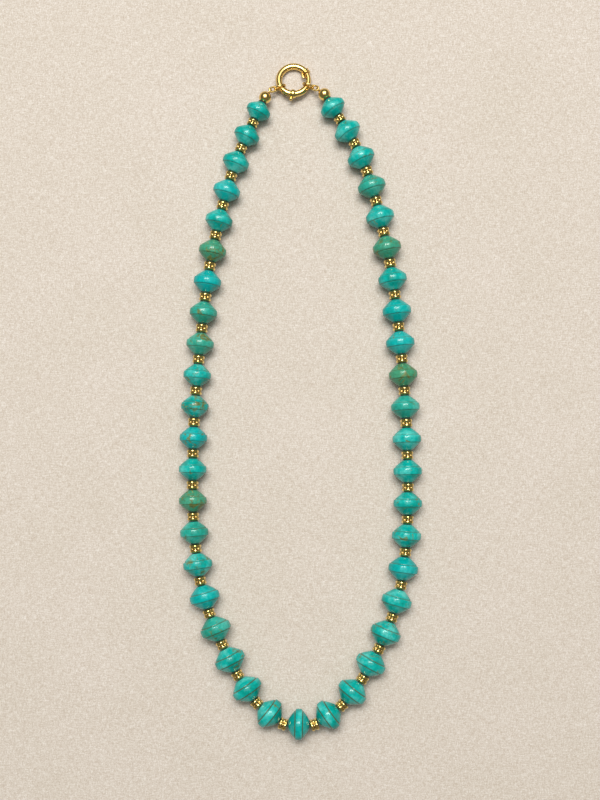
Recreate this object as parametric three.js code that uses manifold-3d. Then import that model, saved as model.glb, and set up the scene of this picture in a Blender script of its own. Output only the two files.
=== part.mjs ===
import * as THREE from 'three';
import { mergeVertices } from 'three/addons/utils/BufferGeometryUtils.js';
import Module from 'manifold-3d';

// Beaded necklace laid flat in a long oval. Millimetres. The loop lies in XY with the clasp
// towards +Y, +Z is up, and the beads stand on z = 0.

// Turquoise beads, graduated from the clasp to the front of the neck. The stones of the right
// half are a little larger; a knot's length is the room it takes between two pieces.
const beadCount = 43;
const leftHalf = { endBead: 8.9, sideBead: 9.93, knot: 0.4 };
const rightHalf = { endBead: 9.3, sideBead: 10.3, knot: 0.39 };
const frontBeadDiameter = 11.2;
const endBeadFlattening = 0.5; // how much shorter an end bead is than its width would make it
const endTaper = 0.55; // share of a difference at the clasp that is left on each next bead
const frontTaper = { starts: 12.3, full: 17.9 }; // beads counted from the clasp
const frontBeadFlattening = 1.15; // the same at the front, where the string bends most
const frontSpread = 0.3; // share of the front flattening that is left on each next bead
const beadSides = 12;
// One bead's outline from its middle to its end, lengths as shares of the bead's diameter
const beadOutline = [
  { along: 0.135, radius: 0.5 },
  { along: 0.28, radius: 0.33 },
  { along: 0.38, radius: 0.16 },
];
const boreDiameter = 2.1;

// Gold spacers between the beads
const endSpacer = { diameter: 4.05, length: 2.3 };
const sideSpacer = { diameter: 4.4, length: 2.85 };
const spacerSides = 10;
// One spacer's outline from its waist to its end, as shares of its length and its diameter
const spacerOutline = [
  { along: 0, radius: 0.42 },
  { along: 0.3, radius: 0.5 },
  { along: 0.5, radius: 0.37 },
];

// Thread and its knots
const threadDiameter = 1.2;
const threadSides = 6;
const bendClearance = 0.08; // least gap between two faces where the string bends
const threadTuck = 1.3; // how far the thread's end goes into an end ball

// The string's way, from the clasp down its left side, round the front and back: chosen points,
// measured from the clasp's centre
const strandRoute = [
  [-20.5, -29.5], [-28.8, -61.0], [-33.2, -93.8], [-35.7, -127.9], [-35.4, -162.1],
  [-31.8, -185.1], [-22.6, -207.5], [-16.4, -217.9], [-8.7, -227.1], [2.0, -231.4],
  [12.8, -227.2], [21.2, -218.3], [27.8, -208.2], [36.9, -186.1], [40.2, -163.3],
  [40.3, -129.2], [38.0, -95.1], [33.4, -61.3], [24.3, -28.7],
];
const routeSamples = 4000;
const spreadLimits = { least: 0.2, most: 5 }; // of the route, to fit the string's length
const spreadPasses = 40;
const bendPasses = 4;

// End balls and the eyes soldered on them
const ballDiameter = 4.4;
const ballSides = 12;
const ballDrop = 0.15; // how much lower a ball's centre hangs than the axis of the bead beside it
const eyeHole = 1.2;
const eyeWire = 0.45;
const eyeSink = 0.1;

// Oval links and jump rings
const linkLength = 3.45; // outside
const linkWidth = 2.15;
const linkWire = 0.6;
const ringWire = 0.65;
const linkClearance = 0.15;
const wireSides = 6;
const ringSteps = 16;
const linkSteps = 14;
const eyeSteps = 12;

// Clasp, a sprung ring: its tube's centre line lies on a circle
const claspRadius = 5.28;
const tubeDiameter = 2.3;
const tubeWall = 0.17;
const tubeSides = 10;
const tubeSteps = 30;
const claspTilt = THREE.MathUtils.degToRad(10);
const boltClearance = 0.1;
const mouthAngle = -26; // degrees round the clasp, anticlockwise from +X
const collarAngle = 29;
const collarWidth = 1.1;
const collarProud = 0.3;
const lipWire = 0.6; // a curled lip soldered to the collar's inner side, beside the bolt
const lipLength = 1.9;
const lipSink = 0.25;
const boltOverlap = 0.5; // how far the closed bolt reaches into the collar
const boltTail = 1.3; // how far the bolt goes on behind the trigger
const triggerAngle = -93;
const triggerTravel = 30;
const bandWidth = 1.7;
const bandWall = 0.28;
const bandClearance = 0.13;
const knobDiameter = 1.45;
const knobAngle = -98;
const knobSides = 10;
const knobStandoff = 0.25; // the knob's centre, beyond the band's outer face
const neckDiameter = 0.4;
const neckSides = 8;
const slotClearance = 0.15;

// The fittings between the clasp and each end of the string: the place of the jump ring round the
// clasp, then the directions of the oval link and of the ball, in degrees seen from above
const ends = [
  { side: 'left', half: leftHalf, ringAngle: -150, linkBearing: 200, ballBearing: 233.5 },
  { side: 'right', half: rightHalf, ringAngle: -23, linkBearing: -21.7, ballBearing: -41.7 },
];

const turquoise = new THREE.MeshStandardMaterial({ color: '#43998a', roughness: 0.28 });
const gold = new THREE.MeshStandardMaterial({ color: '#c99a4b', roughness: 0.32, metalness: 1 });
const polishedGold = new THREE.MeshStandardMaterial({ color: '#d9ae62', roughness: 0.15, metalness: 1 });

const wasm = await Module();
wasm.setup();

function toSolid(geometry) {
  const bare = geometry.clone();
  bare.deleteAttribute('normal');
  bare.deleteAttribute('uv');
  const merged = mergeVertices(bare, 1e-4);
  return new wasm.Manifold(new wasm.Mesh({
    numProp: 3,
    vertProperties: new Float32Array(merged.attributes.position.array),
    triVerts: new Uint32Array(merged.index.array),
  }));
}

function toGeometry(solid) {
  const mesh = solid.getMesh();
  const geometry = new THREE.BufferGeometry();
  geometry.setAttribute('position', new THREE.BufferAttribute(mesh.vertProperties, mesh.numProp));
  geometry.setIndex(new THREE.BufferAttribute(mesh.triVerts, 1));
  return geometry;
}

function named(name, geometry, material) {
  const mesh = new THREE.Mesh(geometry, material);
  mesh.name = name;
  return mesh;
}

const degrees = THREE.MathUtils.degToRad;

// A solid turned about +X from half an outline that runs from its middle to its end
function turned(halfOutline, sides) {
  const mirrored = halfOutline.filter((row) => row.along > 0).reverse();
  const rows = [
    ...mirrored.map((row) => new THREE.Vector2(row.radius, -row.along)),
    ...halfOutline.map((row) => new THREE.Vector2(row.radius, row.along)),
  ];
  const first = new THREE.Vector2(0, rows[0].y);
  const last = new THREE.Vector2(0, rows[rows.length - 1].y);
  const geometry = new THREE.LatheGeometry([first, ...rows, last], sides, Math.PI / sides);
  return geometry.rotateZ(-Math.PI / 2);
}

function scaledOutline(outline, alongUnit, radiusUnit) {
  return outline.map((row) => ({ along: row.along * alongUnit, radius: row.radius * radiusUnit }));
}

// Height of a lying bead's axis, with one flat side of its band on z = 0
function beadAxisHeight(diameter) {
  return diameter * beadOutline[0].radius * Math.cos(Math.PI / beadSides);
}

// How much of what sets the pieces at the clasp apart is left at this place in a row of them
function endShare(index, count) {
  return endTaper ** Math.min(index, count - 1 - index);
}

function halfAt(index, count) {
  return index < count / 2 ? leftHalf : rightHalf;
}

function beadDiameter(index) {
  const fromClasp = Math.min(index, beadCount - 1 - index);
  const { endBead, sideBead } = halfAt(index, beadCount);
  const side = THREE.MathUtils.lerp(sideBead, endBead, endShare(index, beadCount));
  const front = THREE.MathUtils.smoothstep(fromClasp, frontTaper.starts, frontTaper.full);
  return THREE.MathUtils.lerp(side, frontBeadDiameter, front);
}

function beadLength(index) {
  const inProportion = 2 * beadOutline[beadOutline.length - 1].along * beadDiameter(index);
  const fromFront = Math.abs(index - (beadCount - 1) / 2);
  const frontShare = frontSpread ** fromFront;
  return inProportion
    - endBeadFlattening * endShare(index, beadCount)
    - frontBeadFlattening * frontShare;
}

function spacerSize(index) {
  const share = endShare(index, beadCount - 1);
  return {
    diameter: THREE.MathUtils.lerp(sideSpacer.diameter, endSpacer.diameter, share),
    length: THREE.MathUtils.lerp(sideSpacer.length, endSpacer.length, share),
  };
}

// Clasp and fittings

const tubeRadius = tubeDiameter / 2;
const boreRadius = tubeRadius - tubeWall;
const boltRadius = boreRadius * Math.cos(Math.PI / tubeSides) - boltClearance;
const claspHeight = tubeRadius + claspRadius * Math.sin(claspTilt);

const clasp = new THREE.Group();
clasp.position.z = claspHeight;
clasp.rotation.x = -claspTilt;

function torusSolid(sectionRadius) {
  return toSolid(new THREE.TorusGeometry(claspRadius, sectionRadius, tubeSides, tubeSteps));
}

// A slab of the clasp between two angles and two radii
function sector(fromAngle, toAngle, innerRadius, outerRadius, height) {
  const shape = new THREE.Shape();
  shape.absarc(0, 0, outerRadius, degrees(fromAngle), degrees(toAngle), false);
  shape.absarc(0, 0, innerRadius, degrees(toAngle), degrees(fromAngle), true);
  const options = { depth: height, bevelEnabled: false, curveSegments: tubeSteps / 2 };
  return toSolid(new THREE.ExtrudeGeometry(shape, options).translate(0, 0, -height / 2));
}

const sectorInner = claspRadius / 4;
const sectorOuter = claspRadius * 2;
const sectorHeight = claspRadius * 2;

// A slab that holds the whole section of all that is on the tube
function wholeSector(fromAngle, toAngle) {
  return sector(fromAngle, toAngle, sectorInner, sectorOuter, sectorHeight);
}

function alongTube(length) {
  return THREE.MathUtils.radToDeg(length / claspRadius);
}

const neckRadius = neckDiameter / 2;
const slotEnds = {
  from: triggerAngle - triggerTravel - alongTube(neckRadius + slotClearance),
  to: triggerAngle + alongTube(neckRadius + slotClearance),
};

function claspRing() {
  const slotHeight = neckDiameter + 2 * slotClearance;
  const slot = sector(slotEnds.from, slotEnds.to, claspRadius, sectorOuter, slotHeight);
  const collarEnd = collarAngle + alongTube(collarWidth);
  const collar = torusSolid(tubeRadius + collarProud).intersect(wholeSector(collarAngle, collarEnd));
  const lipRadius = claspRadius - tubeRadius - collarProud - lipWire / 2 + lipSink;
  const lipStart = collarEnd - THREE.MathUtils.radToDeg(lipLength / lipRadius);
  const lip = toSolid(new THREE.TorusGeometry(lipRadius, lipWire / 2, wireSides, tubeSteps));
  return torusSolid(tubeRadius)
    .subtract(wholeSector(mouthAngle, collarAngle))
    .add(collar)
    .subtract(torusSolid(boreRadius))
    .subtract(slot)
    .add(lip.intersect(wholeSector(lipStart, collarEnd)));
}

function claspTrigger() {
  const tail = triggerAngle - alongTube(boltTail);
  const tip = collarAngle + alongTube(boltOverlap);
  const bandHalf = alongTube(bandWidth / 2);
  const bandInner = (tubeRadius + bandClearance) / Math.cos(Math.PI / tubeSides);
  const bandOuter = bandInner + bandWall;
  const neckLength = bandOuter - bandWall / 2; // from the bolt's middle into the band's wall
  const neck = new THREE.CylinderGeometry(neckRadius, neckRadius, neckLength, neckSides)
    .rotateZ(Math.PI / 2)
    .translate(claspRadius + neckLength / 2, 0, 0)
    .rotateZ(degrees(triggerAngle));
  const knobPlace = claspRadius + bandOuter + knobStandoff;
  const knob = new THREE.SphereGeometry(knobDiameter / 2, knobSides, knobSides / 2)
    .translate(knobPlace, 0, 0)
    .rotateZ(degrees(knobAngle));
  const band = torusSolid(bandOuter)
    .subtract(torusSolid(bandInner))
    .intersect(wholeSector(triggerAngle - bandHalf, triggerAngle + bandHalf));
  const insideBand = torusSolid((bandInner + bandOuter) / 2);
  return torusSolid(boltRadius)
    .intersect(wholeSector(tail, tip))
    .add(band)
    .add(toSolid(neck))
    .add(toSolid(knob).subtract(insideBand));
}

clasp.add(named('clasp_ring', toGeometry(claspRing()), polishedGold));
clasp.add(named('clasp_trigger', toGeometry(claspTrigger()), polishedGold));
clasp.updateMatrixWorld(true);

// A place along a fitting, with its own +X pointing away from the clasp
function placeAt(point, bearing, slope) {
  const place = new THREE.Group();
  place.position.copy(point);
  place.rotation.set(0, -slope, bearing, 'ZYX');
  return place;
}

function ahead(point, bearing, slope, distance) {
  const step = new THREE.Vector3(distance, 0, 0);
  return step.applyEuler(new THREE.Euler(0, -slope, bearing, 'ZYX')).add(point);
}

// The jump ring holds the tube and the link's wire side by side, clear of each other and of it
const ringInner = (tubeDiameter + linkWire + 3 * linkClearance) / 2;
const ringRadius = ringInner + ringWire / 2;
const ringPlace = ringInner - tubeRadius - linkClearance;
const linkHalf = (linkLength - linkWire) / 2;
const linkRound = (linkWidth - linkWire) / 2; // radius of the link's round ends
const linkStart = tubeRadius + linkClearance + linkWire / 2;
const linkEnd = linkStart + 2 * linkHalf;
const eyePlay = (eyeHole - linkWire) / 2 - linkClearance;
const eyeRadius = (eyeHole + eyeWire) / 2;
const ballRadius = ballDiameter / 2;
const ballPlace = eyePlay + eyeRadius + ballRadius - eyeSink;
// The end bead faces the rim of the ball's bore, with a knot between them
const ballRim = Math.sqrt(ballRadius ** 2 - (boreDiameter / 2) ** 2);

function jumpRing() {
  return new THREE.TorusGeometry(ringRadius, ringWire / 2, wireSides, ringSteps).rotateX(Math.PI / 2);
}

// A round link pulled apart along X into an oval
function ovalLink() {
  const geometry = new THREE.TorusGeometry(linkRound, linkWire / 2, wireSides, linkSteps);
  const position = geometry.attributes.position;
  const pull = linkHalf - linkRound;
  for (let i = 0; i < position.count; i += 1) {
    position.setX(i, position.getX(i) + Math.sign(position.getX(i)) * pull);
  }
  return geometry;
}

function endBall(threadDirection) {
  const boreDepth = threadTuck + linkClearance;
  const eye = new THREE.TorusGeometry(eyeRadius, eyeWire / 2, wireSides, eyeSteps)
    .rotateX(Math.PI / 2)
    .translate(eyePlay - ballPlace, 0, 0);
  const ball = toSolid(new THREE.SphereGeometry(ballRadius, ballSides, ballSides / 2));
  const bore = new THREE.CylinderGeometry(boreDiameter / 2, boreDiameter / 2, 2 * boreDepth, threadSides)
    .rotateZ(Math.PI / 2)
    .translate(ballRadius, 0, 0);
  const turn = new THREE.Quaternion().setFromUnitVectors(new THREE.Vector3(1, 0, 0), threadDirection);
  return toGeometry(ball.add(toSolid(eye)).subtract(toSolid(bore.applyQuaternion(turn))));
}

function fitting(end) {
  const ballHeight = beadAxisHeight(end.half.endBead) - ballDrop;
  const ring = degrees(end.ringAngle);
  const tubePoint = new THREE.Vector3(claspRadius * Math.cos(ring), claspRadius * Math.sin(ring), 0)
    .applyMatrix4(clasp.matrixWorld);
  const reach = linkEnd + ballPlace;
  const slope = Math.asin((ballHeight - tubePoint.z) / reach);
  const linkBearing = degrees(end.linkBearing);
  const ballBearing = degrees(end.ballBearing);
  // The eye hangs on the link's round end, on the side that the string pulls to
  const roundCentre = ahead(tubePoint, linkBearing, slope, linkEnd - linkRound);
  const ballPoint = ahead(roundCentre, ballBearing, slope, linkRound + ballPlace);
  return { ...end, slope, linkBearing, ballBearing, tubePoint, ballPoint };
}

const fittings = ends.map(fitting);

// The string: its stops are the left ball, the middle of each spacer and the right ball

const leftBall = fittings[0].ballPoint;
const rightBall = fittings[1].ballPoint;

function routePoints(spread) {
  const middle = strandRoute.map(([x, y]) => new THREE.Vector3(x * spread, y * spread, 0));
  const first = new THREE.Vector3(leftBall.x, leftBall.y, 0);
  const last = new THREE.Vector3(rightBall.x, rightBall.y, 0);
  const route = new THREE.CatmullRomCurve3([first, ...middle, last], false, 'centripetal');
  return route.getPoints(routeSamples);
}

// Steps the given distances along a route, and says how much of the route they leave over
function stepAlong(points, distances) {
  const stops = [points[0]];
  let next = 1;
  for (const distance of distances) {
    const from = stops[stops.length - 1];
    while (next < points.length && points[next].distanceTo(from) < distance) {
      next += 1;
    }
    if (next === points.length) {
      return { stops, left: stops.length - 1 - distances.length };
    }
    const before = points[next - 1].distanceTo(from);
    const after = points[next].distanceTo(from);
    const share = (distance - before) / (after - before);
    stops.push(new THREE.Vector3().lerpVectors(points[next - 1], points[next], share));
  }
  return { stops, left: points.length - next };
}

// The loop is as wide as its beads need: the route is spread until they fill it
function fillRoute(distances) {
  let narrow = spreadLimits.least;
  let wide = spreadLimits.most;
  for (let pass = 0; pass < spreadPasses; pass += 1) {
    const middle = (narrow + wide) / 2;
    if (stepAlong(routePoints(middle), distances).left > 0) {
      wide = middle;
    } else {
      narrow = middle;
    }
  }
  const { stops } = stepAlong(routePoints(wide), distances);
  stops[stops.length - 1].set(rightBall.x, rightBall.y, 0);
  return stops;
}

function bendAt(stops, index) {
  const before = new THREE.Vector3().subVectors(stops[index], stops[index - 1]);
  const after = new THREE.Vector3().subVectors(stops[index + 1], stops[index]);
  return before.angleTo(after);
}

// Gap at each side of a spacer: a knot's length, or more where the string bends sharply
function gapBeside(index, bend) {
  const { diameter, length } = spacerSize(index);
  const faceRadius = diameter * spacerOutline[spacerOutline.length - 1].radius;
  const turnedOut = faceRadius * Math.sin(bend / 2) - (length / 2) * (1 - Math.cos(bend / 2));
  return Math.max(halfAt(index, beadCount - 1).knot, turnedOut + bendClearance);
}

function stopDistances(bends) {
  const half = [ballRim + leftHalf.knot];
  for (let i = 0; i < beadCount - 1; i += 1) {
    half.push(spacerSize(i).length / 2 + gapBeside(i, bends[i]));
  }
  half.push(ballRim + rightHalf.knot);
  const distances = [];
  for (let i = 0; i < beadCount; i += 1) {
    distances.push(half[i] + beadLength(i) + half[i + 1]);
  }
  return distances;
}

function layString() {
  let bends = new Array(beadCount - 1).fill(0);
  let stops = [];
  for (let pass = 0; pass < bendPasses; pass += 1) {
    stops = fillRoute(stopDistances(bends));
    bends = bends.map((bend, i) => bendAt(stops, i + 1));
  }
  return { stops, bends };
}

const { stops, bends } = layString();
stops.forEach((stop, i) => {
  const before = beadDiameter(Math.max(i - 1, 0));
  const after = beadDiameter(Math.min(i, beadCount - 1));
  stop.z = (beadAxisHeight(before) + beadAxisHeight(after)) / 2;
});
stops[0].z = leftBall.z;
stops[beadCount].z = rightBall.z;

const necklace = new THREE.Group();

// Beads, each lying level on one flat side of its band, drilled for the thread

function bead(index) {
  const diameter = beadDiameter(index);
  const length = beadLength(index);
  const alongUnit = length / (2 * beadOutline[beadOutline.length - 1].along);
  const body = toSolid(turned(scaledOutline(beadOutline, alongUnit, diameter), beadSides));
  const drill = new THREE.CylinderGeometry(boreDiameter / 2, boreDiameter / 2, 2 * length, threadSides);
  const name = `turquoise_bead_${String(index + 1).padStart(2, '0')}`;
  const mesh = named(name, toGeometry(body.subtract(toSolid(drill.rotateZ(Math.PI / 2)))), turquoise);
  const from = stops[index];
  const to = stops[index + 1];
  const way = Math.atan2(to.y - from.y, to.x - from.x);
  const startGap = index === 0
    ? ballRim + leftHalf.knot
    : spacerSize(index - 1).length / 2 + gapBeside(index - 1, bends[index - 1]);
  const middle = startGap + length / 2;
  mesh.position.set(from.x, from.y, beadAxisHeight(diameter));
  mesh.position.add(new THREE.Vector3(Math.cos(way) * middle, Math.sin(way) * middle, 0));
  mesh.rotation.z = way;
  return mesh;
}

for (let i = 0; i < beadCount; i += 1) {
  necklace.add(bead(i));
}

// The strand: one thread with the spacers on it

// Moves a solid made round +X so that +X points along a way
function laidAlong(solid, way, place) {
  const turn = new THREE.Quaternion().setFromUnitVectors(new THREE.Vector3(1, 0, 0), way);
  const unit = new THREE.Vector3(1, 1, 1);
  return solid.transform(new THREE.Matrix4().compose(place, turn, unit).elements);
}

// A straight stretch of thread through one bead, from stop to stop
function threadSolid(index) {
  const from = stops[index].clone();
  const to = stops[index + 1].clone();
  const way = new THREE.Vector3().subVectors(to, from).normalize();
  const tuck = ballRadius - threadTuck;
  if (index === 0) {
    from.addScaledVector(way, tuck);
  }
  if (index === beadCount - 1) {
    to.addScaledVector(way, -tuck);
  }
  const radius = threadDiameter / 2;
  const geometry = new THREE.CylinderGeometry(radius, radius, from.distanceTo(to), threadSides);
  const middle = new THREE.Vector3().lerpVectors(from, to, 0.5);
  return laidAlong(toSolid(geometry.rotateZ(Math.PI / 2)), way, middle);
}

// A spacer halves the bend between the two stretches of thread that meet in it
function spacerSolid(index) {
  const { diameter, length } = spacerSize(index);
  const stop = stops[index + 1];
  const back = new THREE.Vector3().subVectors(stop, stops[index]).normalize();
  const forth = new THREE.Vector3().subVectors(stops[index + 2], stop).normalize();
  const geometry = turned(scaledOutline(spacerOutline, length, diameter), spacerSides);
  return laidAlong(toSolid(geometry), back.add(forth).normalize(), stop);
}

let strand = threadSolid(0);
for (let i = 1; i < beadCount; i += 1) {
  strand = strand.add(spacerSolid(i - 1)).add(threadSolid(i));
}
necklace.add(named('strand', toGeometry(strand), gold));

// Balls, links and rings

fittings.forEach((end, i) => {
  const beyond = i === 0 ? stops[1] : stops[beadCount - 1];
  const linkPlace = placeAt(end.tubePoint, end.linkBearing, end.slope);
  const ring = named(`jump_ring_${end.side}`, jumpRing(), polishedGold);
  ring.position.x = ringPlace;
  const link = named(`oval_link_${end.side}`, ovalLink(), polishedGold);
  link.position.x = linkStart + linkHalf;
  linkPlace.add(ring, link);
  const ballGroup = placeAt(end.ballPoint, end.ballBearing, end.slope);
  ballGroup.updateMatrixWorld(true);
  const threadWay = ballGroup.worldToLocal(beyond.clone()).normalize();
  ballGroup.add(named(`end_ball_${end.side}`, endBall(threadWay), polishedGold));
  necklace.add(linkPlace, ballGroup);
});

necklace.add(clasp);

// The whole necklace stands on z = 0 with the middle of its outline over the origin
necklace.updateMatrixWorld(true);
const outline = new THREE.Box3().setFromObject(necklace, true);
const centre = outline.getCenter(new THREE.Vector3());
necklace.position.set(-centre.x, -centre.y, -outline.min.z);

export default necklace;
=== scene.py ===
import math

import bmesh
import bpy
import numpy as np
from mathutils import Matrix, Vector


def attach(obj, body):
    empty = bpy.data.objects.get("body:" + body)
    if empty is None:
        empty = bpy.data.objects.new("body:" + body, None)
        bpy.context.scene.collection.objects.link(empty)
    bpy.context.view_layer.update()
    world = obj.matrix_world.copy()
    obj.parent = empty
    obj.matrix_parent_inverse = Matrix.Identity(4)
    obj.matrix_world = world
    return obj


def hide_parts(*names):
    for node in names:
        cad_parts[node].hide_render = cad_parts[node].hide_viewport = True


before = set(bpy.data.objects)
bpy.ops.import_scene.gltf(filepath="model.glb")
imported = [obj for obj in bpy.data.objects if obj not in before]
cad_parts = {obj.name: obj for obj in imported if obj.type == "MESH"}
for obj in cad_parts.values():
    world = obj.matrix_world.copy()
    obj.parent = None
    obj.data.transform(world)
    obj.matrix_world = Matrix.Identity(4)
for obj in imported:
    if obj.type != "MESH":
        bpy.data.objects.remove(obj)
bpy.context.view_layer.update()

# Turquoise beads: 43 stones turned as two blunt cones with a proud rounded band between them, a
# fine groove at each side of the band, drilled end to end and polished. They grow from the clasp
# to the front of the neck.

mm = 0.001
bead_count = 43
cad_bead_sides = 12
bead_bore = 1.05 * mm
bead_facets = 72

# Half of a bead's outline from the middle of its band to its drilled end: how far along, as a share
# of half its length, its radius as a share of its diameter, and how dark it is painted: dirt and
# painted shade in the groove, painted shade at the drilled end
bead_outline = [
    (0.000, 0.4985, 0), (0.070, 0.4978, 0), (0.140, 0.4955, 0), (0.200, 0.4922, 0),
    (0.250, 0.4880, 0), (0.285, 0.4828, 0), (0.308, 0.4765, 0.1), (0.324, 0.4670, 0.5),
    (0.336, 0.4550, 1), (0.348, 0.4430, 1), (0.364, 0.4345, 1), (0.384, 0.4315, 1),
    (0.402, 0.4315, 1), (0.422, 0.4280, 0.3), (0.460, 0.4150, 0), (0.520, 0.3920, 0),
    (0.590, 0.3635, 0), (0.660, 0.3335, 0), (0.730, 0.3020, 0), (0.800, 0.2690, 0),
    (0.870, 0.2345, 0), (0.930, 0.2030, 0), (0.970, 0.1810, 0.1), (0.990, 0.1680, 0.3),
    (0.998, 0.1590, 0.6), (1.000, 0.1480, 1),
]
bore_outline = [(1.000, 1.12), (0.992, 1.03), (0.970, 1.0), (0.600, 1.0)]


def frame_along(way):
    """The way itself, level across it, and up."""
    way = np.asarray(way) / np.linalg.norm(way)
    across = np.cross((0.0, 0.0, 1.0), way)
    across /= np.linalg.norm(across)
    return way, across, np.cross(way, across)


def turned(outline, sides, place, way):
    """Rings of points round a way through a place, one for each (along, radius) of an outline."""
    ahead, across, up = frame_along(way)
    turn = np.linspace(0, 2 * math.pi, sides, endpoint=False)
    round_it = np.outer(np.sin(turn), up) + np.outer(np.cos(turn), across)
    rows = [place + along * ahead + radius * round_it for along, radius in outline]
    return np.array(rows)


def make_piece(name, shells, finish, body="root", marks=None):
    """One object of closed shells. A shell is rings of points, and whether the last meets the first.

    marks names point values that the finish reads: for each shell a number a ring or a point.
    """
    points, faces, start = [], [], 0
    for rings, joined in shells:
        rows, sides = rings.shape[:2]
        number = start + np.arange(rows * sides).reshape(rows, sides)
        upper = np.roll(number, -1, axis=0) if joined else number[1:]
        lower = number if joined else number[:-1]
        beside = [np.roll(part, -1, axis=1) for part in (lower, upper)]
        faces += np.stack([lower, beside[0], beside[1], upper], axis=-1).reshape(-1, 4).tolist()
        points.append(rings.reshape(-1, 3))
        start += rows * sides
    mesh = bpy.data.meshes.new(name)
    mesh.from_pydata(np.concatenate(points).tolist(), [], faces)
    for mark, lists in (marks or {}).items():
        layer = mesh.attributes.new(mark, "FLOAT", "POINT")
        values = [(np.reshape(ring, (len(ring), -1)) * np.ones(s[0].shape[1])).ravel()
                  for ring, s in zip(lists, shells)]
        layer.data.foreach_set("value", np.concatenate(values).astype(np.float32))
    shape = bmesh.new()
    shape.from_mesh(mesh)
    bmesh.ops.remove_doubles(shape, verts=shape.verts, dist=1e-7)
    bmesh.ops.recalc_face_normals(shape, faces=shape.faces)
    shape.to_mesh(mesh)
    shape.free()
    mesh.polygons.foreach_set("use_smooth", [True] * len(mesh.polygons))
    piece = bpy.data.objects.new(name, mesh)
    bpy.context.scene.collection.objects.link(piece)
    mesh.materials.append(finish)
    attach(piece, body)
    return piece


def start_finish(name):
    finish = bpy.data.materials.new(name)
    finish.use_nodes = True
    tree = finish.node_tree
    return finish, tree, tree.nodes["Principled BSDF"]


def noise(tree, grain, detail=3.0, roughness=0.5, distortion=0.0):
    """A cloud whose patches are about grain metres across, fixed to the object."""
    place = tree.nodes.new("ShaderNodeTexCoord")
    cloud = tree.nodes.new("ShaderNodeTexNoise")
    cloud.inputs["Scale"].default_value = 1 / grain
    cloud.inputs["Detail"].default_value = detail
    cloud.inputs["Roughness"].default_value = roughness
    cloud.inputs["Distortion"].default_value = distortion
    tree.links.new(place.outputs["Object"], cloud.inputs["Vector"])
    return cloud.outputs["Fac"]


def ramp(tree, value, stops):
    node = tree.nodes.new("ShaderNodeValToRGB")
    elements = node.color_ramp.elements
    while len(elements) < len(stops):
        elements.new(0.5)
    for element, (place, colour) in zip(elements, stops):
        element.position = place
        element.color = (*colour, 1) if isinstance(colour, tuple) else (colour, colour, colour, 1)
    tree.links.new(value, node.inputs["Fac"])
    return node.outputs["Color"]


def mix(tree, share, first, second, way="MIX"):
    node = tree.nodes.new("ShaderNodeMix")
    node.data_type = "RGBA"
    node.blend_type = way
    for socket, value in ((node.inputs[0], share), (node.inputs[6], first), (node.inputs[7], second)):
        if isinstance(value, bpy.types.NodeSocket):
            tree.links.new(value, socket)
        elif isinstance(value, tuple):
            socket.default_value = (*value, 1)
        else:
            socket.default_value = value
    return node.outputs[2]


def calculate(tree, operation, first, second):
    node = tree.nodes.new("ShaderNodeMath")
    node.operation = operation
    for socket, value in zip(node.inputs, (first, second)):
        if isinstance(value, bpy.types.NodeSocket):
            tree.links.new(value, socket)
        else:
            socket.default_value = value
    return node.outputs[0]


def mark_value(tree, name):
    node = tree.nodes.new("ShaderNodeAttribute")
    node.attribute_name = name
    return node.outputs["Fac"]


def add_bump(tree, shader, height, distance, strength=1.0):
    node = tree.nodes.new("ShaderNodeBump")
    node.inputs["Distance"].default_value = distance
    node.inputs["Strength"].default_value = strength
    tree.links.new(height, node.inputs["Height"])
    tree.links.new(node.outputs["Normal"], shader.inputs["Normal"])


turquoise, tree, shader = start_finish("polished turquoise")
clouds = noise(tree, 5 * mm, detail=4, roughness=0.6)
body_colour = ramp(tree, clouds, [(0.34, (0.000, 0.26, 0.220)), (0.50, (0.003, 0.38, 0.345)),
                                  (0.66, (0.080, 0.52, 0.475))])
tint = mark_value(tree, "tint")
body_colour = mix(tree, ramp(tree, tint, [(0.0, 1.0), (0.5, 0.0)]), body_colour, (0.055, 0.27, 0.140))
body_colour = mix(tree, ramp(tree, tint, [(0.5, 0.0), (1.0, 1.0)]), body_colour, (0.000, 0.37, 0.38))
mottle = ramp(tree, noise(tree, 0.9 * mm, detail=3), [(0.30, 0.86), (0.70, 1.14)])
body_colour = mix(tree, 1.0, body_colour, mottle, "MULTIPLY")
matrix_amount = mark_value(tree, "matrix")
patches = noise(tree, 3.4 * mm, detail=5, roughness=0.6, distortion=0.9)
patches = calculate(tree, "ADD", patches, calculate(tree, "MULTIPLY", matrix_amount, 0.12))
patch_share = ramp(tree, patches, [(0.645, 0.0), (0.685, 0.55), (0.75, 0.9)])
patch_colour = ramp(tree, noise(tree, 0.7 * mm, detail=4), [(0.35, (0.075, 0.095, 0.020)),
                                                            (0.65, (0.21, 0.21, 0.050))])
body_colour = mix(tree, patch_share, body_colour, patch_colour)
vein = noise(tree, 4.2 * mm, detail=6, roughness=0.55, distortion=1.2)
vein = calculate(tree, "ABSOLUTE", calculate(tree, "SUBTRACT", vein, 0.5), 0)
vein_share = ramp(tree, vein, [(0.0, 0.8), (0.005, 0.5), (0.014, 0.0)])
vein_share = calculate(tree, "MULTIPLY", vein_share, matrix_amount)
body_colour = mix(tree, vein_share, body_colour, (0.060, 0.064, 0.014))
# Dark olive in the grooves, at the drilled ends and in the bores: partly dirt, partly painted shade
body_colour = mix(tree, mark_value(tree, "groove"), body_colour, (0.070, 0.078, 0.016))
tree.links.new(body_colour, shader.inputs["Base Color"])
sheen_wear = ramp(tree, noise(tree, 1.5 * mm, detail=4), [(0.3, 0.20), (0.7, 0.30)])
tree.links.new(sheen_wear, shader.inputs["Roughness"])
shader.inputs["Specular IOR Level"].default_value = 0.05
shader.inputs["Coat Weight"].default_value = 0.46
shader.inputs["Coat Roughness"].default_value = 0.09
add_bump(tree, shader, noise(tree, 0.5 * mm, detail=5), 0.006 * mm, 0.4)

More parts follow.
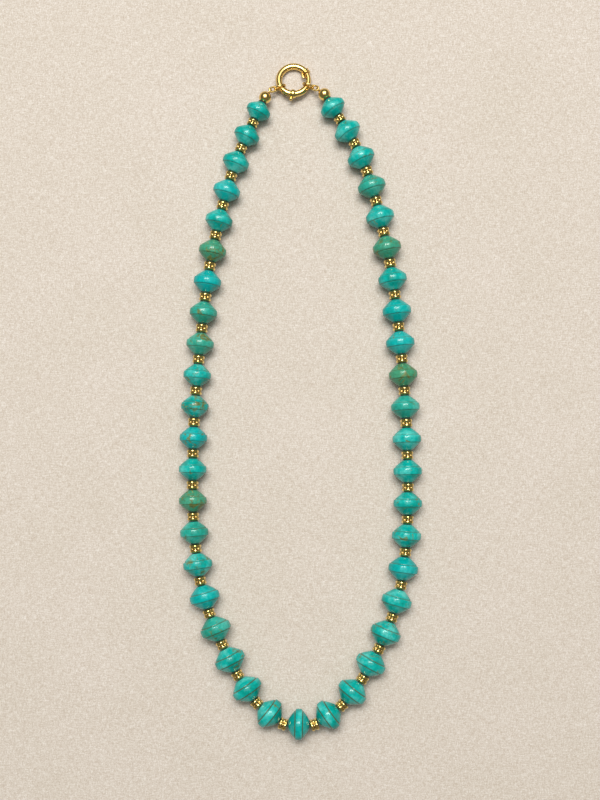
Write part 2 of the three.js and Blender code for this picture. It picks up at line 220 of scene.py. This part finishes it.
# Beads whose stone is plainly greener or bluer than the rest, and how much brown matrix shows in
# those that have most of it, counted down the left side from the clasp
greener_beads = {6: 0.8, 8: 0.4, 9: 0.5, 14: 0.8, 15: 0.3, 18: 0.3, 33: 0.3, 34: 0.9, 38: 0.7, 40: 0.4}
bluer_beads = {4: 0.5, 7: 0.7, 12: 0.7, 17: 0.5, 28: 0.6, 35: 0.6, 36: 0.4, 22: 0.2}
matrix_beads = {1: 0.3, 2: 0.3, 5: 0.4, 6: 0.9, 8: 0.5, 9: 0.6, 10: 0.7, 11: 1.0, 12: 0.5, 14: 0.9,
                16: 0.6, 18: 0.4, 19: 0.5, 26: 0.4, 29: 0.5, 30: 0.4, 34: 0.8, 38: 0.8, 40: 0.6}
plain_matrix = 0.12

# The grooves and drilled ends are painted darker, partly dirt and partly painted shade, more so in the
# beads near the front one
side_dirt_and_shade = 0.28
more_dirt_and_shade_in_front = 0.60
front_beads = 5


def read_bead(number):
    """A bead's centre, the way along it, its half length and its diameter, from its CAD solid."""
    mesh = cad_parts[f"turquoise_bead_{number:02d}"].data
    corners = np.empty(len(mesh.vertices) * 3)
    mesh.vertices.foreach_get("co", corners)
    corners = np.unique(np.round(corners.reshape(-1, 3), 8), axis=0)
    middle = corners[:, :2].mean(axis=0)
    height = (corners[:, 2].min() + corners[:, 2].max()) / 2
    flat = corners[:, :2] - middle
    ways = np.linalg.eigh(flat.T @ flat)[1].T
    reach = [np.ptp(flat @ way) for way in ways]
    way = ways[int(np.argmin(reach))]
    diameter = np.ptp(corners[:, 2]) / math.cos(math.pi / cad_bead_sides)
    return {"centre": np.array([*middle, height]), "way": np.array([*way, 0.0]),
            "half": min(reach) / 2, "wide": diameter}


beads = [read_bead(number) for number in range(1, bead_count + 1)]
for i, bead in enumerate(beads):
    ahead = beads[min(i + 1, bead_count - 1)]["centre"] - beads[max(i - 1, 0)]["centre"]
    if bead["way"] @ ahead < 0:
        bead["way"] = -bead["way"]

for i, bead in enumerate(beads):
    half = [(along * bead["half"], radius * bead["wide"]) for along, radius, dirt_and_shade in bead_outline]
    half += [(along * bead["half"], radius * bead_bore) for along, radius in bore_outline]
    # How dark this bead's grooves, drilled ends and bore are painted: dirt and painted shade
    in_front = math.exp(-((i + 1 - (bead_count + 1) / 2) / front_beads) ** 2)
    groove_dirt_and_shade = side_dirt_and_shade + more_dirt_and_shade_in_front * in_front
    dirt_and_shade = [row[2] * groove_dirt_and_shade for row in bead_outline] + [1.0] * len(bore_outline)
    outline = [(-along, radius) for along, radius in half[:0:-1]] + half
    rings = turned(outline, bead_facets, bead["centre"], bead["way"])
    tint = 0.5 + 0.5 * bluer_beads.get(i + 1, 0) - 0.5 * greener_beads.get(i + 1, 0)
    matrix = matrix_beads.get(i + 1, plain_matrix)
    marks = {"groove": [dirt_and_shade[:0:-1] + dirt_and_shade], "tint": [[tint] * len(outline)],
             "matrix": [[matrix] * len(outline)]}
    piece = make_piece(f"bead_{i + 1:02d}", [(rings, True)], turquoise, marks=marks)
    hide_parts(f"turquoise_bead_{i + 1:02d}")

# Thread: dark green silk that runs through all the beads, bending inside the spacers, with its ends
# tucked into the end balls.

thread_radius = 0.55 * mm
thread_facets = 16
thread_tuck = 1.2 * mm
bend_reach = 1.0 * mm
bend_pull = 0.25

silk, tree, shader = start_finish("dark green silk thread")
twist = noise(tree, 0.12 * mm, detail=2)
silk_colour = ramp(tree, twist, [(0.3, (0.004, 0.018, 0.011)), (0.7, (0.014, 0.052, 0.032))])
tree.links.new(silk_colour, shader.inputs["Base Color"])
shader.inputs["Roughness"].default_value = 0.55
shader.inputs["Sheen Weight"].default_value = 0.25
add_bump(tree, shader, twist, 0.04 * mm)


def end_of(bead, side):
    return bead["centre"] + side * bead["half"] * bead["way"]


# Where two beads' bores meet: the middle of the spacer between them
bends = []
for before, after in zip(beads, beads[1:]):
    both_ways = before["way"] + after["way"]
    gap = np.linalg.norm(end_of(after, -1) - end_of(before, 1)) / np.linalg.norm(both_ways)
    place = (end_of(before, 1) + before["way"] * gap + end_of(after, -1) - after["way"] * gap) / 2
    bends.append({"place": place, "way": both_ways / np.linalg.norm(both_ways), "gap": gap})

# End balls: polished gold, drilled for the thread, each with a small eye soldered on the side
# towards the clasp. Places and ways are those of the fittings, worked out from the clasp's centre.

clasp_centre = np.array([-2.4295, 114.6857, 2.0669]) * mm
clasp_tilt = math.radians(10)
clasp_radius = 5.28 * mm
tube_radius = 1.15 * mm
ball_radius = 2.2 * mm
ball_drop = 0.15 * mm
eye_wire = 0.225 * mm
eye_radius = 0.825 * mm
eye_play = 0.15 * mm
ball_reach = 3.075 * mm
link_reach = 4.45 * mm
link_round = 0.775 * mm
ball_hole = 0.75 * bead_bore
ball_hole_depth = 1.4 * mm
ball_facets = 64


def clasp_point(angle, out, up):
    """A place on the clasp: degrees round it, then out and up from its tube's centre line."""
    angle = np.radians(angle)
    flat = (clasp_radius + out) * np.cos(angle), (clasp_radius + out) * np.sin(angle)
    across = math.cos(clasp_tilt) * flat[1] + math.sin(clasp_tilt) * up
    rise = -math.sin(clasp_tilt) * flat[1] + math.cos(clasp_tilt) * up
    return np.stack(np.broadcast_arrays(flat[0], across, rise), axis=-1) + clasp_centre


def wire_ring(centre, radius, wire, way, over, rings=64, facets=16, pull=0.0):
    """A round of wire in the plane of way and over, pulled apart along way into an oval."""
    turn = np.linspace(0, 2 * math.pi, rings, endpoint=False)
    section = np.linspace(0, 2 * math.pi, facets, endpoint=False)
    out = np.outer(np.cos(turn), way) + np.outer(np.sin(turn), over)
    middle = centre + radius * out + np.outer(np.tanh(3 * np.cos(turn)) * pull, way)
    beside = np.cross(way, over)
    return (middle[:, None] + wire * np.cos(section)[None, :, None] * out[:, None]
            + wire * np.sin(section)[None, :, None] * beside)


polished_gold, tree, shader = start_finish("polished yellow gold")
shader.inputs["Metallic"].default_value = 1.0
tone = noise(tree, 2.5 * mm, detail=3)
tree.links.new(ramp(tree, tone, [(0.3, (0.77, 0.53, 0.155)), (0.7, (0.88, 0.64, 0.22))]),
               shader.inputs["Base Color"])
smears = ramp(tree, noise(tree, 0.8 * mm, detail=6, roughness=0.7), [(0.35, 0.09), (0.7, 0.15)])
tree.links.new(smears, shader.inputs["Roughness"])
shader.inputs["Coat Weight"].default_value = 0.35
shader.inputs["Coat Roughness"].default_value = 0.12
add_bump(tree, shader, noise(tree, 0.5 * mm, detail=4), 0.003 * mm, 0.4)

fittings = [
    {"side": "left", "ring": -150.0, "link": 200.0, "ball": 233.5, "end_bead": 8.9 * mm, "bead": 0},
    {"side": "right", "ring": -23.0, "link": -21.7, "ball": -41.7, "end_bead": 9.3 * mm, "bead": -1},
]
for end in fittings:
    tube_point = clasp_point(end["ring"], 0, 0)
    height = end["end_bead"] / 2 * math.cos(math.pi / cad_bead_sides) - ball_drop
    slope = math.asin((height - tube_point[2]) / (link_reach + ball_reach))
    for part in ("link", "ball"):
        bearing = math.radians(end[part])
        end[part + "_way"] = np.array([math.cos(bearing) * math.cos(slope),
                                       math.sin(bearing) * math.cos(slope), math.sin(slope)])
    end["tube_point"] = tube_point
    round_centre = tube_point + end["link_way"] * (link_reach - link_round)
    end["ball_place"] = round_centre + end["ball_way"] * (link_round + ball_reach)
    thread_side = -1 if end["bead"] == 0 else 1
    to_bead = end_of(beads[end["bead"]], thread_side) - end["ball_place"]
    end["thread_way"] = to_bead / np.linalg.norm(to_bead)
    lip = math.asin(ball_hole / ball_radius)
    arc = np.linspace(math.pi, lip + 0.06, 40)
    outline = [(ball_radius * math.cos(a), ball_radius * math.sin(a)) for a in arc]
    rim = ball_radius * math.cos(lip)
    outline += [(rim - 0.01 * mm, ball_hole + 0.04 * mm), (rim - 0.06 * mm, ball_hole),
                (rim - ball_hole_depth, ball_hole), (rim - ball_hole_depth, 0.0)]
    ball = turned(outline, ball_facets, end["ball_place"], end["thread_way"])
    way, _, up = frame_along(end["ball_way"])
    eye_place = end["ball_place"] + (eye_play - ball_reach) * way
    eye = wire_ring(eye_place, eye_radius, eye_wire, way, up)
    piece = make_piece(f"ball_{end['side']}", [(ball, False), (eye, True)], polished_gold)
    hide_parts(f"end_ball_{end['side']}")

# The thread itself, now that both its ends are known
stops = [fittings[0]["ball_place"] + thread_tuck * fittings[0]["thread_way"]]
stops += [bend["place"] for bend in bends]
stops += [fittings[1]["ball_place"] + thread_tuck * fittings[1]["thread_way"]]
rings = []
for i, stop in enumerate(stops):
    before, after = stops[max(i - 1, 0)], stops[min(i + 1, len(stops) - 1)]
    back = (stop - before) / max(np.linalg.norm(stop - before), 1e-9)
    forth = (after - stop) / max(np.linalg.norm(after - stop), 1e-9)
    at_end = i in (0, len(stops) - 1)
    reach = 0.0 if at_end else bend_reach
    for share in ((0,) if at_end else (-1, -0.5, 0, 0.5, 1)):
        place = stop + (back if share < 0 else forth) * share * reach
        place = place + (forth - back) * reach * bend_pull * (1 - abs(share)) ** 2
        way = back * (1 - share) + forth * (1 + share)
        rings.append(turned([(0, thread_radius)], thread_facets, place, way)[0])
caps = [turned([(0, 0)], thread_facets, stop, stops[1] - stops[0])[0]
        for stop in (stops[0], stops[-1])]
thread = make_piece("thread", [(np.array([caps[0], *rings, caps[1]]), False)], silk)

# Knots: the thread is knotted on both sides of every spacer and against the balls, which shows as a
# thin dark disc between stone and gold.

side_spacer = {"wide": 4.4 * mm, "long": 2.85 * mm}
end_spacer = {"wide": 4.05 * mm, "long": 2.3 * mm}
end_taper = 0.55
knot_radius = 1.56 * mm
ball_knot_radius = 0.97 * knot_radius
ball_knot_seat = 0.28 * mm
knot_lobes = 7
knot_lobe_height = 0.035
knot_facets = 40


def spacer_size(number):
    """How wide and how long a spacer is: they grow over the first few from each end."""
    share = end_taper ** min(number, bead_count - 2 - number)
    return [side_spacer[size] + share * (end_spacer[size] - side_spacer[size])
            for size in ("wide", "long")]


def knot_shell(start, finish, radius):
    """Two turns of thread pressed flat between two faces."""
    thick = np.linalg.norm(finish - start)
    outline = [(0, 0), (0, 0.80), (0.10, 0.93), (0.25, 1.0), (0.40, 0.96), (0.50, 0.91),
               (0.60, 0.96), (0.75, 1.0), (0.90, 0.93), (1, 0.80), (1, 0)]
    scaled = [(along * thick, share * radius) for along, share in outline]
    shell = turned(scaled, knot_facets, start, finish - start)
    way = (finish - start) / thick
    turn = np.arange(knot_facets) * 2 * math.pi / knot_facets
    lobes = 1 + knot_lobe_height * np.sin(turn * knot_lobes)
    axis = start + ((shell - start) @ way)[..., None] * way
    return axis + (shell - axis) * lobes[None, :, None]


knots = []
for i, bend in enumerate(bends):
    half_spacer = bend["way"] * spacer_size(i)[1] / 2
    faces = [(end_of(beads[i], 1), bend["place"] - half_spacer),
             (bend["place"] + half_spacer, end_of(beads[i + 1], -1))]
    knots += [(knot_shell(start, finish, knot_radius), False) for start, finish in faces]
for end, side in zip(fittings, (-1, 1)):
    face = end_of(beads[end["bead"]], side)
    seat = end["ball_place"] + end["thread_way"] * (ball_radius - ball_knot_seat)
    knots.append((knot_shell(seat, face, ball_knot_radius), False))
knot_piece = make_piece("thread_knots", knots, silk)

# Spacers: short gold tubes, waisted, with a rim of seven fused granules at each end and a bar from
# each granule to the next rim's. The pits between the bars and the bore get painted shade, dark brown;
# the granules and bars are worn bright and smoother.

granules_round = 7
spacer_facets = 96
spacer_rows = 36
spacer_bore = 0.7 * mm
rim_place = 0.30
rim_thick = 0.20
pit_radius, bar_radius = 0.355, 0.445
hollow_radius, granule_radius = 0.468, 0.5
end_radius = 0.37
bar_wear_and_light = 0.75

granulated_gold, tree, shader = start_finish("granulated yellow gold")
shader.inputs["Metallic"].default_value = 1.0
worn_and_lit = mark_value(tree, "worn_and_lit")
tone = ramp(tree, noise(tree, 0.8 * mm, detail=3), [(0.3, (0.84, 0.58, 0.16)),
                                                   (0.7, (0.96, 0.72, 0.26))])
# Painted shade: dark brown gold where the mark is low, in the pits and the bore; full gold on the worn
# rims and bars
gold_colour = mix(tree, worn_and_lit, (0.20, 0.125, 0.028), tone)
tree.links.new(gold_colour, shader.inputs["Base Color"])
polish = calculate(tree, "SUBTRACT", 0.40, calculate(tree, "MULTIPLY", worn_and_lit, 0.28))
tree.links.new(polish, shader.inputs["Roughness"])
shader.inputs["Coat Weight"].default_value = 0.35
shader.inputs["Coat Roughness"].default_value = 0.15
add_bump(tree, shader, noise(tree, 0.25 * mm, detail=4), 0.012 * mm, 0.6)

spacers = []
turn = np.linspace(0, 2 * math.pi, spacer_facets, endpoint=False)
crest = 0.5 + 0.5 * np.cos(granules_round * (turn - math.pi / 2))
waist = pit_radius + (bar_radius - pit_radius) * crest
rim = hollow_radius + (granule_radius - hollow_radius) * crest ** 0.6
steps = 0.5 * np.sin(np.linspace(-math.pi / 2, math.pi / 2, spacer_rows))
for i, bend in enumerate(bends):
    wide, long = spacer_size(i)
    ends = turned([(-0.5 * long, spacer_bore), (0.5 * long, spacer_bore)], spacer_facets,
                  bend["place"], bend["way"])
    rings, worn_and_lit = [ends[0]], []
    for step in steps:
        swell = max(0.0, 1 - ((abs(step) - rim_place) / rim_thick) ** 2) ** 0.5
        base = waist if abs(step) < rim_place else np.full(spacer_facets, end_radius)
        radii = base + (np.maximum(rim, base) - base) * swell
        circle = turned([(step * long, wide)], spacer_facets, bend["place"], bend["way"])[0]
        axis = bend["place"] + step * long * bend["way"]
        rings.append(axis + (circle - axis) * radii[:, None])
        # The mark is full on the rims, less on the bars and none in the pits and bore, which get
        # painted shade
        worn_and_lit.append(np.maximum(swell, bar_wear_and_light * crest))
    rings.append(ends[1])
    worn_and_lit = [worn_and_lit[0] * 0, *worn_and_lit, worn_and_lit[0] * 0]
    spacers.append(make_piece(f"spacer_{i + 1:02d}", [(np.array(rings), True)], granulated_gold,
                              marks={"worn_and_lit": [worn_and_lit]}))
for piece in [thread, knot_piece, *spacers]:
    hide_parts("strand")

# Oval links and jump rings: round gold wire, bent and soldered. An oval link joins each ball's eye
# to a jump ring, and the jump ring goes round the clasp's tube.

link_wire = 0.34 * mm
link_pull = 0.65 * mm
link_place = 3.025 * mm
jump_wire = 0.325 * mm
jump_radius = 2.0 * mm
jump_place = 0.375 * mm

for end in fittings:
    way, across, up = frame_along(end["link_way"])
    link = wire_ring(end["tube_point"] + link_place * way, link_round, link_wire, way, across,
                     pull=link_pull)
    piece = make_piece(f"link_{end['side']}", [(link, True)], polished_gold)
    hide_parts(f"oval_link_{end['side']}")
    ring = wire_ring(end["tube_point"] + jump_place * way, jump_radius, jump_wire, way, up)
    piece = make_piece(f"ring_{end['side']}", [(ring, True)], polished_gold)
    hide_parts(f"jump_ring_{end['side']}")

# Clasp: a large spring ring of gold tube with a mouth on its right, a swaged collar that the bolt
# closes into, a curled lip beside it, and a slot outside for the trigger's neck.

tube_bore = 0.98 * mm
mouth_angle = -26
collar_angles = (29, 40.9)
slot_angles = (-126.8, -89.2)
slot_half = 0.35 * mm
tube_facets = 40
lip_wire = 0.44 * mm

around = np.linspace(collar_angles[0] + 1 - 360, mouth_angle, 150)
section = np.linspace(0, 2 * math.pi, tube_facets, endpoint=False)


def clasp_rings(angles, radii):
    """Rings of points round the clasp's tube, one for each angle and radius."""
    return np.array([clasp_point(angle, radius * np.cos(section), radius * np.sin(section))
                     for angle, radius in zip(angles, radii)])


rim_turn = np.linspace(0, math.pi, 5)[1:-1]
wall_middle = (tube_radius + tube_bore) / 2
wall_half = (tube_radius - tube_bore) / 2
rim_angles = mouth_angle + np.degrees(wall_half * np.sin(rim_turn) / clasp_radius)
rim_radii = wall_middle + wall_half * np.cos(rim_turn)
angles = [*around, *rim_angles, *around[::-1]]
radii = [tube_radius] * len(around) + list(rim_radii) + [tube_bore] * len(around)
tube = clasp_rings(angles, radii)
clasp_shells = [(tube, True)]

collar_outline = [(-0.04, 0.87), (-0.08, 1.10), (-0.05, 1.22), (0.03, 1.31), (0.13, 1.35), (0.24, 1.32),
                  (0.34, 1.23), (0.42, 1.11), (0.50, 1.06), (0.58, 1.11), (0.66, 1.23), (0.76, 1.32),
                  (0.87, 1.35), (0.97, 1.31), (1.05, 1.22), (1.08, 1.10), (1.04, 0.87)]
collar_span = collar_angles[1] - collar_angles[0]
collar = clasp_rings([collar_angles[0] + along * collar_span for along, radius in collar_outline],
                     [radius * tube_radius for along, radius in collar_outline])
clasp_shells.append((collar, True))


def wire_along(points, radii, facets=16):
    """A round wire through points, with a dome at each end."""
    points = np.array(points)
    ways = np.gradient(points, axis=0)
    rows = []
    for share in (0.0, 0.5, 0.85):
        rows.append((points[0] - ways[0] / np.linalg.norm(ways[0]) * radii[0] * (1 - share) * 0.8,
                     radii[0] * share, ways[0]))
    rows += list(zip(points, radii, ways))
    for share in (0.85, 0.5, 0.0):
        rows.append((points[-1] + ways[-1] / np.linalg.norm(ways[-1]) * radii[-1] * (1 - share) * 0.8,
                     radii[-1] * share, ways[-1]))
    return np.array([turned([(0, radius)], facets, place, way)[0] for place, radius, way in rows])


lip_turn = np.linspace(0, 1, 24)
lip_angles = 39 - 27 * lip_turn
lip_out = -(1.44 + 0.22 * np.sin(lip_turn * math.pi * 0.8)) * mm
lip_points = [clasp_point(angle, out, 0) for angle, out in zip(lip_angles, lip_out)]
clasp_shells.append((wire_along(lip_points, lip_wire * (1.1 - 0.3 * lip_turn ** 2)), False))
piece = make_piece("clasp_tube", clasp_shells, polished_gold)
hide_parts("clasp_ring")


def in_slot(point):
    """Whether a point of the tube's wall lies where the slot is sawn through it."""
    x, y, z = np.array(point) - clasp_centre
    flat = math.cos(clasp_tilt) * y - math.sin(clasp_tilt) * z
    rise = math.sin(clasp_tilt) * y + math.cos(clasp_tilt) * z
    angle = math.degrees(math.atan2(flat, x))
    outside = math.hypot(x, flat) > clasp_radius + tube_bore / 2
    return slot_angles[0] < angle < slot_angles[1] and abs(rise) < slot_half and outside


wall = bmesh.new()
wall.from_mesh(piece.data)
sawn = [face for face in wall.faces if in_slot(face.calc_center_median())]
bmesh.ops.delete(wall, geom=sawn, context="FACES")
bmesh.ops.bridge_loops(wall, edges=[edge for edge in wall.edges if edge.is_boundary])
wall.to_mesh(piece.data)
wall.free()

# Trigger: the sprung bolt inside the clasp's tube, with a neck through the slot to a sliding band
# round the tube and a small knob for the fingernail.

bolt_radius = 0.90 * mm
bolt_angles = (-107.1, 34.4)
trigger_angle = -93
band_half = 9.2
band_outline = [(-1.0, 1.26), (-1.0, 1.30), (-0.93, 1.37), (-0.78, 1.45), (-0.58, 1.53), (-0.32, 1.59),
                (0.0, 1.615), (0.32, 1.59), (0.58, 1.53), (0.78, 1.45), (0.93, 1.37), (1.0, 1.30),
                (1.0, 1.26), (0.0, 1.24)]
knob_angle = -98
knob_radius = 0.70 * mm
knob_out = 1.88 * mm
stem_radius = 0.42 * mm
neck_radius = 0.2 * mm
neck_span = (0.3 * mm, 1.45 * mm)
stem_span = (1.54 * mm, 1.7 * mm)

bolt_turn = np.linspace(*bolt_angles, 110)
bolt_radii = [0.0, bolt_radius * 0.7] + [bolt_radius] * (len(bolt_turn) - 4) + [bolt_radius * 0.7, 0.0]
bolt = clasp_rings(bolt_turn, bolt_radii)
band = clasp_rings([trigger_angle + along * band_half for along, radius in band_outline],
                   [radius * mm for along, radius in band_outline])
knob_place = clasp_point(knob_angle, knob_out, 0)
knob_way = knob_place - clasp_centre
knob_outline = [(-math.cos(a) * knob_radius, math.sin(a) * knob_radius)
                for a in np.linspace(0, math.pi, 28)]
knob = turned(knob_outline, 40, knob_place, knob_way)
neck_points = [clasp_point(trigger_angle, out, 0) for out in np.linspace(*neck_span, 6)]
neck = wire_along(neck_points, [neck_radius] * 6)
stem_points = [clasp_point(knob_angle, out, 0) for out in np.linspace(*stem_span, 4)]
stem = wire_along(stem_points, [stem_radius] * 4, facets=24)
trigger_shells = [(bolt, False), (band, True), (knob, False), (neck, False), (stem, False)]
piece = make_piece("clasp_bolt", trigger_shells, polished_gold, body="trigger")
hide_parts("clasp_trigger")

# The table it lies on: pale undyed linen, with soft light from above its far end, and the camera
# that looks straight down.

floor_height = -0.13 * mm
floor_half = 1.5

linen, tree, shader = start_finish("pale linen ground")
shader.inputs["Roughness"].default_value = 0.9
shader.inputs["Specular IOR Level"].default_value = 0.15


def threads(across, along):
    """Uneven threads side by side, as a cloud stretched along one way of the cloth."""
    place = tree.nodes.new("ShaderNodeTexCoord")
    stretch = tree.nodes.new("ShaderNodeMapping")
    stretch.inputs["Scale"].default_value = (1 / across, 1 / along, 1)
    cloud = tree.nodes.new("ShaderNodeTexNoise")
    cloud.inputs["Scale"].default_value = 1
    cloud.inputs["Detail"].default_value = 2
    tree.links.new(place.outputs["Object"], stretch.inputs["Vector"])
    tree.links.new(stretch.outputs["Vector"], cloud.inputs["Vector"])
    return cloud.outputs["Fac"]


warp, weft = threads(0.36 * mm, 2.4 * mm), threads(2.4 * mm, 0.36 * mm)
weave = calculate(tree, "ADD", warp, weft)
weave = calculate(tree, "MULTIPLY", weave, 0.5)
fibres, slubs = noise(tree, 0.34 * mm, detail=2), noise(tree, 30 * mm, detail=3)
cloth_colour = (0.560, 0.510, 0.455)
for value, shade, shine in ((weave, (0.84, 0.80, 0.76), (1.14, 1.18, 1.22)),
                            (fibres, (0.82, 0.78, 0.73), (1.16, 1.20, 1.25)),
                            (slubs, (0.98, 0.98, 0.97), (1.02, 1.02, 1.03))):
    shades = ramp(tree, value, [(0.28, shade), (0.72, shine)])
    cloth_colour = mix(tree, 1.0, cloth_colour, shades, "MULTIPLY")
tree.links.new(cloth_colour, shader.inputs["Base Color"])
add_bump(tree, shader, weave, 0.10 * mm, 0.5)

floor_mesh = bpy.data.meshes.new("floor")
corners = [(x * floor_half, y * floor_half, floor_height)
           for x, y in ((-1, -1), (1, -1), (1, 1), (-1, 1))]
floor_mesh.from_pydata(corners, [], [(0, 1, 2, 3)])
floor = bpy.data.objects.new("floor", floor_mesh)
bpy.context.scene.collection.objects.link(floor)
floor_mesh.materials.append(linen)


def soft_box(name, place, aim, wide, deep, watts, colour):
    light = bpy.data.lights.new(name, "AREA")
    light.shape = "RECTANGLE"
    light.size, light.size_y = wide, deep
    light.energy = watts
    light.color = colour
    holder = bpy.data.objects.new(name, light)
    holder.location = place
    down = Vector(aim) - Vector(place)
    holder.rotation_mode = "QUATERNION"
    holder.rotation_quaternion = down.to_track_quat("-Z", "Y")
    bpy.context.scene.collection.objects.link(holder)


soft_box("window", (-0.09, 0.70, 2.03), aim=(0, -0.03, 0), wide=1.3, deep=0.50, watts=38.0,
         colour=(1.0, 0.97, 0.92))
soft_box("overhead", (-0.02, 0.36, 1.04), aim=(0, 0, 0), wide=1.1, deep=1.25, watts=8.0,
         colour=(1.0, 0.98, 0.95))

world = bpy.data.worlds.new("room")
bpy.context.scene.world = world
world.use_nodes = True
world.node_tree.nodes["Background"].inputs["Color"].default_value = (1.0, 0.95, 0.86, 1)
world.node_tree.nodes["Background"].inputs["Strength"].default_value = 0.17

camera_data = bpy.data.cameras.new("camera")
camera_data.lens = 58.5
camera_data.sensor_width = 36
camera_data.shift_y = 0.1433
camera = bpy.data.objects.new("camera", camera_data)
camera.location = (-0.00017, -0.04094, 0.4678)
bpy.context.scene.collection.objects.link(camera)
bpy.context.scene.camera = camera
bpy.context.scene.view_settings.view_transform = "Standard"
